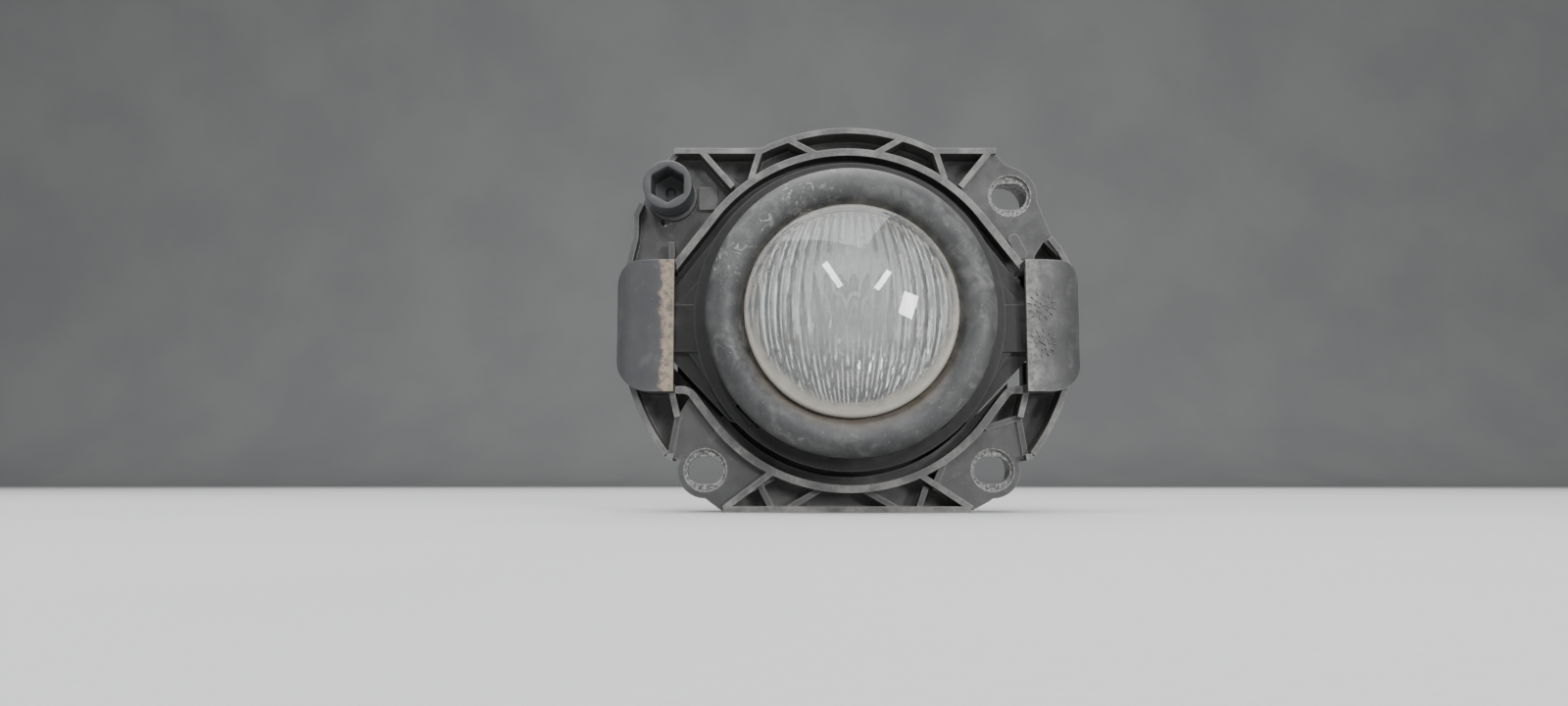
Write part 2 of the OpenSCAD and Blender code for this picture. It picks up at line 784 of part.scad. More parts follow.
bracket();
pivot_bush_left();
pivot_bush_right();
lamp_housing();
reflector();
lens();
lens_sealant();
bezel_ring();
breather_cap();
adjuster_screw();
retaining_clip();
adjuster_nut();
bulb_glass();
bulb_filament();
filament_supports();
bulb_collar();
bulb_base();
bulb_seal();
terminal_left();
terminal_right();
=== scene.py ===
"""A round fog lamp in its bracket: camera, stage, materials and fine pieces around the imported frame."""
import json
import math

import bmesh
import bpy
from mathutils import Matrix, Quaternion, Vector, noise


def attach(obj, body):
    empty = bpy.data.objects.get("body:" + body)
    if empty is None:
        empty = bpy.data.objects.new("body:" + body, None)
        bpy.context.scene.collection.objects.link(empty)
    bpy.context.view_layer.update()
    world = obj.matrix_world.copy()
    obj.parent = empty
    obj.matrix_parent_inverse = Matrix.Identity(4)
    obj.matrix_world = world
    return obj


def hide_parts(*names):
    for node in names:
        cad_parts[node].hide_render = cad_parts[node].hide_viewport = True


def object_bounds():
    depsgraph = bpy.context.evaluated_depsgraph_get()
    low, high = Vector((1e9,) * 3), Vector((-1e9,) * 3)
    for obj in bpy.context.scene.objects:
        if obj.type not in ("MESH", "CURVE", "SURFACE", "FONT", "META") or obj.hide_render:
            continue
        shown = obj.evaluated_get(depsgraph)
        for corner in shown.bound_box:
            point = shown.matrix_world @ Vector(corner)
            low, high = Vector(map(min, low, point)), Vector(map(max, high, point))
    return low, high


MM = 0.001
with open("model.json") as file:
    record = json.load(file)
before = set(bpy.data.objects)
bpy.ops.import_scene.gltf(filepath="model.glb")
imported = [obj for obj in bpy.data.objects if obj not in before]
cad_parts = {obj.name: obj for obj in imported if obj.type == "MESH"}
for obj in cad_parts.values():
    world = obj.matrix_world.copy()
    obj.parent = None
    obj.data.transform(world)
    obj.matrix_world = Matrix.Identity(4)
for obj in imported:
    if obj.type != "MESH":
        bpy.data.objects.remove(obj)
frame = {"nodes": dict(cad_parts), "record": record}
nodes = frame["nodes"]
cad_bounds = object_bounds()


def mm(x, y, z):
    return Vector((x, y, z)) * MM


# ---------------------------------------------------------------- camera and stage

SENSOR_WIDTH = 36
FOCAL_LENGTH = 26.775
CAMERA_AT = mm(-13.2, -245.3, -33.65)
CAMERA_PITCH = math.radians(6.4)


def make_camera():
    data = bpy.data.cameras.new("camera")
    data.sensor_width = SENSOR_WIDTH
    data.lens = FOCAL_LENGTH
    data.clip_start = 0.01
    data.clip_end = 50
    camera = bpy.data.objects.new("camera", data)
    camera.location = CAMERA_AT
    camera.rotation_euler = (math.pi / 2 + CAMERA_PITCH, 0, 0)
    bpy.context.scene.collection.objects.link(camera)
    bpy.context.scene.camera = camera


def add_light(name, at, aim, size, power, colour=(1, 1, 1), size_y=None):
    data = bpy.data.lights.new(name, "AREA")
    data.energy = power
    data.color = colour
    data.size = size
    if size_y:
        data.shape = "RECTANGLE"
        data.size_y = size_y
    light = bpy.data.objects.new(name, data)
    light.location = at
    light.rotation_mode = "QUATERNION"
    light.rotation_quaternion = (Vector(aim) - Vector(at)).to_track_quat("-Z", "Y")
    bpy.context.scene.collection.objects.link(light)
    return light


def make_stage():
    """A pale floor that turns up into a backdrop far behind the lamp."""
    floor_z = cad_bounds[0].z
    half_width, reach, curve, height = 5, 3.0, 0.6, 2.4
    path = [(-reach, 0), (reach, 0)]
    steps = 12
    for step in range(1, steps + 1):
        turn = math.pi / 2 * step / steps
        path.append((reach + curve * math.sin(turn), curve * (1 - math.cos(turn))))
    path.append((reach + curve, height))
    mesh = bmesh.new()
    rows = [[mesh.verts.new((x, y, floor_z + z)) for y, z in path]
            for x in (-half_width, half_width)]
    for (a, b), (c, d) in zip(zip(rows[0], rows[0][1:]), zip(rows[1], rows[1][1:])):
        mesh.faces.new((a, c, d, b))
    stage = finish_mesh("stage_floor", mesh, stage_material())
    world = bpy.data.worlds.new("world")
    bpy.context.scene.world = world
    world.use_nodes = True
    back = world.node_tree.nodes["Background"]
    back.inputs["Color"].default_value = (0.86, 0.88, 0.9, 1)
    back.inputs["Strength"].default_value = 0.3


# ---------------------------------------------------------------- meshes

SHARP = math.radians(38)


def finish_mesh(name, mesh, material, smooth=True, body=None):
    """Turns a bmesh into an object with one material, and lets it ride on a body."""
    bmesh.ops.recalc_face_normals(mesh, faces=mesh.faces)
    data = bpy.data.meshes.new(name)
    mesh.to_mesh(data)
    mesh.free()
    data.polygons.foreach_set("use_smooth", [smooth] * len(data.polygons))
    data.set_sharp_from_angle(angle=SHARP)
    piece = bpy.data.objects.new(name, data)
    bpy.context.scene.collection.objects.link(piece)
    data.materials.append(material)
    if body:
        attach(piece, body)
    return piece


def join_loops(mesh, loops):
    """Skins closed loops of equally many vertices, one to the next."""
    for near, far in zip(loops, loops[1:]):
        for k in range(len(near)):
            after = (k + 1) % len(near)
            mesh.faces.new((near[k], near[after], far[after], far[k]))


def ring_of(mesh, y, radius, centre=(0, 0), count=96):
    """A closed loop about the Y axis; radius is a number or a function of the angle. All in mm."""
    loop = []
    for k in range(count):
        turn = 2 * math.pi * k / count
        r = radius(turn) if callable(radius) else radius
        loop.append(mesh.verts.new(mm(centre[0] + r * math.cos(turn), y, centre[1] + r * math.sin(turn))))
    return loop


# ---------------------------------------------------------------- lens

LENS_R = 19.2          # radius of the fluted inner face
LENS_FACE_R = 20.0     # radius of the outer dome
DOME_R = 45.78         # radius of the outer dome's sphere
APEX = -26.2
GLASS = 2.4            # thickness in the middle
INNER_R = 46.4
POLE = 24.0            # height above and below the axis at which the flutes would meet
FLUTES = 17
FLUTE_STEPS = 10
FLUTE_ROWS = 150
FLUTE_DEPTH = 0.33
PEBBLE_TOP = -6.0      # below this the flutes break up into short pillows
SHOULDER_Y = -20.6     # centre of the rounding between the dome and the skirt
SKIRT_END = -15.4      # back of the lens's skirt


def flute_x(u, z):
    """X of flute line u, from -1 to 1 across the lens, at height z."""
    return u * LENS_R * math.sqrt(1 - (z / POLE) ** 2)


def flute_end(u):
    """Height at which flute line u meets the edge of the inner face."""
    low, high = 0.0, LENS_R
    for _ in range(40):
        z = (low + high) / 2
        if math.hypot(flute_x(u, z), z) < LENS_R:
            low = z
        else:
            high = z
    return low


def flute_height(u, z):
    """How far the inner face stands in towards the bulb at a point of the lens."""
    phase = u * FLUTES / 2 + 0.5
    across = phase - math.floor(phase) - 0.5
    flute = 1 - 4 * across * across
    share = min(1, max(0, (PEBBLE_TOP - z) / 3.5))
    row = z / 2.3 + 0.5 * math.sin(u * 9)
    shift = 0.5 * (math.floor(row) % 2)
    pillow = math.cos(2 * math.pi * (2 * phase + shift)) * math.sin(math.pi * (row - math.floor(row)))
    wobble = noise.noise(Vector((u * 11, z * 0.35, 0.3))) * 0.05
    return FLUTE_DEPTH * (flute * (1 - 0.3 * share) + 0.26 * share * pillow) + wobble


def dome_y(x, z, apex, sphere):
    return apex + sphere - math.sqrt(sphere * sphere - x * x - z * z)


def build_lens(material):
    mesh = bmesh.new()
    columns = FLUTES * FLUTE_STEPS
    scale = LENS_FACE_R / LENS_R
    outer, inner = [], []
    for i in range(columns + 1):
        u = 0.994 * (2 * i / columns - 1)
        end = flute_end(u)
        outer.append([])
        inner.append([])
        for j in range(FLUTE_ROWS + 1):
            z = end * (1 - 2 * j / FLUTE_ROWS)
            x = flute_x(u, z)
            back = dome_y(x, z, APEX + GLASS, INNER_R) + flute_height(u, z)
            inner[i].append(mesh.verts.new(mm(x, back, z)))
            outer[i].append(mesh.verts.new(mm(
                x * scale, dome_y(x * scale, z * scale, APEX, DOME_R), z * scale)))
    for grid in (outer, inner):
        for i in range(columns):
            for j in range(FLUTE_ROWS):
                mesh.faces.new((grid[i][j], grid[i + 1][j], grid[i + 1][j + 1], grid[i][j + 1]))

    def edge_loop(grid):
        return ([column[0] for column in grid] + grid[-1][1:-1]
                + [column[-1] for column in reversed(grid)] + grid[0][-2:0:-1])

    first = edge_loop(outer)
    turns = [math.atan2(vertex.co.z, vertex.co.x) for vertex in first]
    shoulder = [(LENS_FACE_R + math.sin(math.radians(a)), SHOULDER_Y - math.cos(math.radians(a)))
                for a in (20, 45, 70, 90)]
    loops = [first]
    for r, y in shoulder + [(21, -17.9), (21.2, -17.6), (23.4, -17.5), (23.6, -17.3), (23.6, -15.4),
                            (23.4, -15.3), (LENS_R + 0.2, -15.3), (LENS_R, -15.5), (LENS_R, -18.6)]:
        loops.append([mesh.verts.new(mm(r * math.cos(a), y, r * math.sin(a))) for a in turns])
    loops.append(edge_loop(inner))
    join_loops(mesh, loops)
    lens = finish_mesh("fluted_lens", mesh, material, body="lamp")
    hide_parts("lens")


SEALANT_GAP = 0.06     # between the sealant film and the lens's skirt
SEALANT_BACK = 0.2     # between the flutes and the sealant film


def build_sealant_film(material):
    """Aged sealant that has crept over the lens's inner edge, broadest at the bottom."""
    mesh = bmesh.new()
    count = 240
    steps = 6
    loops = []
    for step in range(steps + 1):
        loop = []
        for k in range(count):
            turn = 2 * math.pi * k / count
            low = max(0.0, -math.sin(turn))
            side = abs(math.cos(turn))
            uneven = noise.noise(Vector((math.cos(turn) * 4, math.sin(turn) * 4, 0.7)))
            width = 0.1 + 0.5 * side + 1.2 * low ** 2 + 0.4 * uneven
            r = LENS_R - SEALANT_GAP - max(0.1, width) * step / steps
            x, z = r * math.cos(turn), r * math.sin(turn)
            inner_face = dome_y(x, z, APEX + GLASS, INNER_R)
            loop.append(mesh.verts.new(mm(x, inner_face + FLUTE_DEPTH + SEALANT_BACK, z)))
        loops.append(loop)
    skirt = ring_of(mesh, SKIRT_END, LENS_R - SEALANT_GAP, count=count)
    join_loops(mesh, [skirt] + loops)
    finish_mesh("sealant_film", mesh, material, body="lamp")


# ---------------------------------------------------------------- adjusting screw and bulb

SCREW = (-36.7, 26.35)
HEX = 3.2              # half of the width across the flats
THREAD_PITCH = 2.0
ROOT, CREST = 2.4, 2.88
THREAD_START, THREAD_END = 3.1, 17.0


def hexagon(half):
    def radius(turn):
        off = (turn + math.pi / 6) % (math.pi / 3) - math.pi / 6
        return min(half / math.cos(off), half * 1.13)
    return radius


def thread(y):
    def radius(turn):
        phase = (y / THREAD_PITCH - turn / (2 * math.pi)) % 1
        flank = min(1, max(0, (0.5 - abs(phase - 0.5)) * 4 - 0.5))
        fade = min(1, max(0, (y - THREAD_START) / 1.5), max(0, (THREAD_END - y) / 1.2))
        return ROOT + (CREST - ROOT) * flank * fade
    return radius


def build_screw(material):
    mesh = bmesh.new()
    # from the bottom of the socket out to its mouth, round the head and back along the shank
    socket = [(-7.9, 0.05), (-7.9, 0.6), (-8.3, 1.05), (-8.5, 1.2), (-8.5, hexagon(2.95)),
              (-8.7, hexagon(3.12)), (-15.0, hexagon(HEX)), (-15.3, hexagon(HEX + 0.05)),
              (-15.46, hexagon(HEX + 0.2)), (-15.5, hexagon(HEX + 0.32))]
    head = [(-15.5, 4.62), (-15.42, 4.85), (-15.2, 4.98), (-14.2, 5), (-14.02, 4.93), (-13.98, 4.52),
            (-13.3, 4.5), (-13.26, 4.72), (-13.1, 4.8), (-9.7, 4.8), (-9.62, 4.72), (-9.4, 4.72),
            (-9.32, 4.8), (-6.85, 4.8), (-6.7, 4.72), (-6.68, 4.5), (-5.52, 4.5)]
    collar = [(-5.5, 5.1), (-5.38, 5.2), (-4.45, 5.2), (-4.32, 5.1), (-4.3, 3)]
    shank = [(2.05, 3), (2.2, 2.85), (2.2, ROOT), (3.05, ROOT)]
    rows = socket + head + collar + shank
    y = THREAD_START
    while y < 17.1:
        rows.append((y, thread(y)))
        y += THREAD_PITCH / 16
    rows += [(17.5, ROOT), (17.8, 2.1), (17.8, 0.05)]
    loops = [ring_of(mesh, y, radius, SCREW) for y, radius in rows]
    join_loops(mesh, loops)
    mesh.faces.new(loops[0])
    mesh.faces.new(loops[-1])
    screw = finish_mesh("threaded_screw", mesh, material, body="adjuster")
    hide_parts("adjuster_screw")


FOCUS_Y = -8.84        # the reflector's focus, where the coil lies
COIL_R = 0.6


def build_filament(material):
    """The bulb's coil, wound between its two support wires."""
    curve = bpy.data.curves.new("filament_coil", "CURVE")
    curve.dimensions = "3D"
    curve.bevel_depth = 0.1 * MM
    curve.bevel_resolution = 2
    points = [(-2.9, 0, 0), (-2.55, 0, 0.1)]
    turns, per_turn, reach = 11, 16, 2.3
    for k in range(turns * per_turn + 1):
        share = k / (turns * per_turn)
        angle = 2 * math.pi * turns * share
        points.append((reach * (2 * share - 1), COIL_R * math.sin(angle), COIL_R * math.cos(angle)))
    points += [(2.55, 0, 0.1), (2.9, 0, 0)]
    spline = curve.splines.new("POLY")
    spline.points.add(len(points) - 1)
    for point, (x, y, z) in zip(spline.points, points):
        point.co = (*mm(x, FOCUS_Y + y, z), 1)
    coil = bpy.data.objects.new("filament_coil", curve)
    bpy.context.scene.collection.objects.link(coil)
    curve.materials.append(material)
    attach(coil, "bulb")
    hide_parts("bulb_filament")


# ---------------------------------------------------------------- mould marks

EAR_ROUND = 9.5
EAR_EDGE = 47.7


def ear_front(x):
    """Y of the ear's front at a distance x from the middle."""
    over = max(0, abs(x) - (EAR_EDGE - EAR_ROUND))
    return -15 + EAR_ROUND - math.sqrt(EAR_ROUND ** 2 - over ** 2)


def raised_bar(mesh, start, end, width, height=0.3):
    """A low ridge on the front of an ear, from start to end as (x, z)."""
    a, b = Vector(start), Vector(end)
    side = Vector((a.y - b.y, b.x - a.x)).normalized() * width / 2
    corners = [a - side, b - side, b + side, a + side]
    foot = [mesh.verts.new(mm(c.x, ear_front(c.x) + 0.05, c.y)) for c in corners]
    middle = sum(corners, Vector((0, 0))) / 4
    top = [c.lerp(middle, 0.12) for c in corners]
    top = [mesh.verts.new(mm(c.x, ear_front(c.x) - height, c.y)) for c in top]
    mesh.faces.new(top)
    join_loops(mesh, [foot, top])


def build_date_marks(material):
    """Two round mould stamps on the right ear, as plain ticks without figures."""
    mesh = bmesh.new()
    for cx, cz, tilt in ((38.3, 1.7, 20), (38.3, -5.8, -35)):
        for k in range(12):
            turn = math.radians(30 * k + tilt)
            ray = Vector((math.cos(turn), math.sin(turn)))
            centre = Vector((cx, cz))
            raised_bar(mesh, centre + ray * 2.15, centre + ray * 2.85, 0.2)
            if k % 3:
                raised_bar(mesh, centre + ray * 1.15, centre + ray * 1.55, 0.16)
        across = Vector((math.cos(math.radians(tilt)), math.sin(math.radians(tilt))))
        raised_bar(mesh, centre - across * 0.85, centre + across * 0.85, 0.22)
        upright = Vector((-across.y, across.x))
        raised_bar(mesh, centre, centre + upright * 0.7, 0.22)
    finish_mesh("date_marks", mesh, material, smooth=False, body="bracket")


# ---------------------------------------------------------------- materials

class Shader:
    """One procedural material, built by short calls that each add a node."""

    def __init__(self, name):
        self.material = bpy.data.materials.new(name)
        self.material.use_nodes = True
        self.tree = self.material.node_tree
        self.tree.nodes.clear()
        self.output = self.tree.nodes.new("ShaderNodeOutputMaterial")
        self.place = self.node("ShaderNodeTexCoord").outputs["Object"]

    def node(self, kind, inputs=None, **settings):
        made = self.tree.nodes.new(kind)
        for key, value in settings.items():
            setattr(made, key, value)
        for key, value in (inputs or {}).items():
            self.feed(made.inputs[key], value)
        return made

    def feed(self, socket, value):
        if isinstance(value, bpy.types.NodeSocket):
            self.tree.links.new(value, socket)
        elif isinstance(value, (tuple, list)) and socket.type == "RGBA":
            socket.default_value = (*value[:3], 1)
        else:
            socket.default_value = value

    def noise(self, scale, detail=4, rough=0.55, at=None, distort=0):
        """Noise from 0 to 1, whose features measure about 1/scale metres."""
        return self.node("ShaderNodeTexNoise", {
            "Vector": at or self.place, "Scale": scale, "Detail": detail,
            "Roughness": rough, "Distortion": distort}).outputs["Fac"]

    def math(self, operation, a, b=0.5, clamp=False):
        return self.node("ShaderNodeMath", {0: a, 1: b}, operation=operation,
                         use_clamp=clamp).outputs[0]

    def band(self, value, low, high, to_low=0, to_high=1):
        """Value, stretched so that low and high become to_low and to_high, and held there."""
        return self.node("ShaderNodeMapRange", {
            "Value": value, "From Min": low, "From Max": high, "To Min": to_low,
            "To Max": to_high}, interpolation_type="SMOOTHSTEP").outputs["Result"]

    def mix(self, amount, a, b, blend="MIX"):
        made = self.node("ShaderNodeMix", data_type="RGBA", blend_type=blend)
        self.feed(made.inputs[0], amount)
        self.feed(made.inputs[6], a)
        self.feed(made.inputs[7], b)
        return made.outputs[2]

    def axis(self, letter, source=None):
        parts = self.node("ShaderNodeSeparateXYZ", {0: source or self.place})
        return parts.outputs[letter]

    def radius(self):
        """Distance from the beam axis, in metres."""
        x, z = self.axis("X"), self.axis("Z")
        return self.math("SQRT", self.math("ADD", self.math("MULTIPLY", x, x),
                                           self.math("MULTIPLY", z, z)))

    def facing(self, letter):
        """The surface normal's share along one axis, from -1 to 1."""
        return self.axis(letter, self.node("ShaderNodeNewGeometry").outputs["Normal"])

    def edges(self, width, low=0.0, high=0.3):
        """Near 1 on sharp convex and concave edges, 0 on flat faces."""
        round_normal = self.node("ShaderNodeBevel", {"Radius": width}, samples=6)
        flat_normal = self.node("ShaderNodeNewGeometry").outputs["Normal"]
        alike = self.node("ShaderNodeVectorMath", {
            0: round_normal.outputs[0], 1: flat_normal}, operation="DOT_PRODUCT").outputs["Value"]
        return self.band(self.math("SUBTRACT", 1.0, alike), low, high)

    def crevice(self, distance):
        """Near 1 in corners and pockets, 0 where the surface is open."""
        open_share = self.node("ShaderNodeAmbientOcclusion", {"Distance": distance}, samples=6)
        return self.math("SUBTRACT", 1.0, open_share.outputs["AO"])

    def bump(self, height, distance, strength=1.0, below=None):
        inputs = {"Height": height, "Distance": distance, "Strength": strength}
        if below:
            inputs["Normal"] = below
        return self.node("ShaderNodeBump", inputs).outputs["Normal"]

    def principled(self, **inputs):
        named = {key.replace("_", " "): value for key, value in inputs.items()}
        made = self.node("ShaderNodeBsdfPrincipled", named)
        self.surface(made.outputs[0])
        return made

    def surface(self, output):
        self.tree.links.new(output, self.output.inputs["Surface"])


def stage_material():
    s = Shader("stage_paper")
    grain = s.noise(900, 3)
    s.principled(Base_Color=s.mix(s.band(s.noise(3), 0.3, 0.7), (0.42, 0.42, 0.42), (0.47, 0.47, 0.465)),
                 Roughness=0.85, Normal=s.bump(grain, 0.0003, 0.25))
    return s.material


def worn_plastic(name, dark, mid, pale, edge, dust=(0.30, 0.28, 0.25), dust_amount=0.6, speckle=0.5,
                 rough=(0.45, 0.7), gloss=0.5, extra=None):
    """Weathered moulded plastic: cloudy and chalky, dusty where it faces up, lighter in corners and pockets
    from dust and painted bounce light, scuffed pale along edges.
    """
    s = Shader(name)
    clouds = s.noise(70, 5, 0.6)
    patches = s.noise(260, 8, 0.68, distort=0.4)
    fine = s.noise(1500, 4, 0.65)
    colour = s.mix(s.band(clouds, 0.32, 0.68), dark, mid)
    chalk = s.math("MULTIPLY", s.band(patches, 0.52, 0.72), s.band(clouds, 0.35, 0.6, 0.25, 1))
    colour = s.mix(s.math("MULTIPLY", chalk, speckle), colour, pale)
    up = s.math("MULTIPLY", s.band(s.facing("Z"), 0.15, 0.95), s.band(patches, 0.35, 0.6, 0.45, 1))
    colour = s.mix(s.math("MULTIPLY", up, dust_amount), colour, dust)
    # Painted bounce light and dust: corners and pockets are lightened towards half the dust colour.
    corner = s.math("MULTIPLY", s.band(s.crevice(0.004), 0.35, 0.9), s.band(patches, 0.4, 0.6))
    colour = s.mix(s.math("MULTIPLY", corner, 0.55), colour, tuple(c * 0.5 for c in dust))
    broad = s.math("MULTIPLY", s.edges(0.0008, 0.03, 0.30), s.band(patches, 0.25, 0.6, 0.35, 1))
    colour = s.mix(s.math("MULTIPLY", broad, 0.55), colour, edge)
    sharp = s.math("MULTIPLY", s.edges(0.00025, 0.03, 0.22), s.band(fine, 0.3, 0.55, 0.2, 1))
    colour = s.mix(s.math("MULTIPLY", sharp, 0.6), colour, tuple(min(1, c * 1.5) for c in edge))
    flecks = s.band(s.noise(3000, 2, 0.5), 0.70, 0.78)
    colour = s.mix(s.math("MULTIPLY", flecks, 0.55), colour, tuple(min(1, c * 1.8) for c in pale))
    if extra:
        colour = extra(s, colour)
    rounded = s.node("ShaderNodeBevel", {"Radius": 0.00025}, samples=6).outputs[0]
    height = s.math("ADD", s.math("MULTIPLY", fine, 0.5), s.math("MULTIPLY", patches, 0.7))
    s.principled(Base_Color=colour, Roughness=s.band(patches, 0.35, 0.65, *rough),
                 Specular_IOR_Level=gloss, Normal=s.bump(height, 0.00012, 0.55, rounded))
    return s.material


def disc_mask(s, centre, inner, outer):
    """1 within inner of the line along Y through centre, 0 beyond outer, in mm."""
    x = s.math("SUBTRACT", s.axis("X"), centre[0] * MM)
    z = s.math("SUBTRACT", s.axis("Z"), centre[1] * MM)
    away = s.math("SQRT", s.math("ADD", s.math("MULTIPLY", x, x), s.math("MULTIPLY", z, z)))
    return s.band(away, inner * MM, outer * MM, 1, 0)


SCREW_SEATS = ((33.6, 25.7), (29.2, -30.9), (-29.2, -30.9))


def bracket_wear_and_shade(s, colour):
    """Rubbed screw seats, ears and rib edges, dried mud on the left ear's inner edge, and painted shade on
    the left ear's outer part.
    """
    grain = s.band(s.noise(1800, 5, 0.7), 0.42, 0.6)
    for seat in SCREW_SEATS:
        mask = s.math("MULTIPLY", disc_mask(s, seat, 4.3, 4.6), grain)
        colour = s.mix(s.math("MULTIPLY", mask, 0.7), colour, (0.30, 0.295, 0.285))
    ragged = s.math("MULTIPLY_ADD", s.noise(420, 6, 0.7), 0.0042)
    ragged.node.inputs[2].default_value = -0.0021
    x = s.math("ADD", s.axis("X"), ragged)
    ear_face = s.band(s.axis("Y"), -0.0138, -0.0144)
    strip = s.math("MULTIPLY", s.band(x, -0.0381, -0.0372), ear_face)
    strip = s.math("MULTIPLY", strip, s.band(s.axis("X"), -0.0345, -0.035))
    strip = s.math("MULTIPLY", strip, s.band(s.noise(900, 7, 0.75), 0.36, 0.6, 0.2, 0.95))
    colour = s.mix(strip, colour, (0.22, 0.175, 0.125))
    right = s.math("SUBTRACT", s.axis("X"), ragged)
    rubbed = s.math("MULTIPLY", s.band(right, 0.0395, 0.0352), s.band(right, 0.030, 0.031))
    rubbed = s.math("MULTIPLY", rubbed, ear_face)
    rubbed = s.math("MULTIPLY", rubbed, s.band(s.noise(700, 7, 0.75), 0.38, 0.62, 0.1, 0.75))
    colour = s.mix(rubbed, colour, (0.25, 0.243, 0.232))
    # front edges of the rim and the tall ribs
    y = s.axis("Y")
    front = s.math("MULTIPLY", s.band(y, -0.00935, -0.00945), s.band(y, -0.0103, -0.0100))
    front = s.math("MULTIPLY", front, s.band(s.facing("Y"), -0.75, -0.95))
    front = s.math("MULTIPLY", front, s.band(s.noise(130, 8, 0.72), 0.40, 0.64, 0.08, 0.7))
    colour = s.mix(front, colour, (0.20, 0.196, 0.188))
    # Painted shade: the left ear's outer part is darkened towards a bluish grey.
    left_ear_painted_shade = s.math("MULTIPLY", s.band(s.axis("X"), -0.0385, -0.041), s.band(s.axis("Y"), -0.006, -0.01))
    return s.mix(s.math("MULTIPLY", left_ear_painted_shade, 0.55), colour, (0.034, 0.036, 0.041))


def bezel_wear_and_highlight(s, colour):
    """Pale mottling, scuffs under a painted highlight on the upper left of the ring, and brown dirt round
    the lens.
    """
    radius = s.radius()
    # Painted highlight and scuffs: pale mottled patches on the upper left of the ring, where the light from
    # above falls.
    upper_left_highlight = s.math("MULTIPLY", s.band(s.axis("Z"), 0.0, 0.012), s.band(s.axis("X"), 0.004, -0.008))
    scuff_and_highlight = s.math("MULTIPLY", s.band(s.noise(520, 9, 0.75, distort=1.2), 0.54, 0.68), upper_left_highlight)
    colour = s.mix(s.math("MULTIPLY", scuff_and_highlight, 0.6), colour, (0.42, 0.42, 0.41))
    low = s.band(s.axis("Z"), -0.006, -0.016)
    close = s.band(radius, 0.0236, 0.0213)
    dirt = s.math("MULTIPLY", s.math("MULTIPLY", low, close), s.band(s.noise(600, 6, 0.7), 0.3, 0.6, 0.3, 1))
    colour = s.mix(s.math("MULTIPLY", dirt, 0.55), colour, (0.20, 0.165, 0.125))
    mottle = s.band(s.noise(190, 9, 0.74, distort=0.8), 0.47, 0.66)
    mottle = s.math("MULTIPLY", mottle, s.band(s.noise(45, 3), 0.3, 0.65, 0.25, 0.8))
    colour = s.mix(mottle, colour, (0.092, 0.092, 0.091))
    rim = s.math("MULTIPLY", s.band(radius, 0.0217, 0.0212), s.band(s.noise(900, 5, 0.7), 0.4, 0.6))
    return s.mix(s.math("MULTIPLY", rim, 0.5), colour, (0.30, 0.26, 0.20))


def clear_glass(name):
    s = Shader(name)
    s.principled(Base_Color=(1, 1, 1), Roughness=0.0, IOR=1.5, Transmission_Weight=1.0)
    return s.material


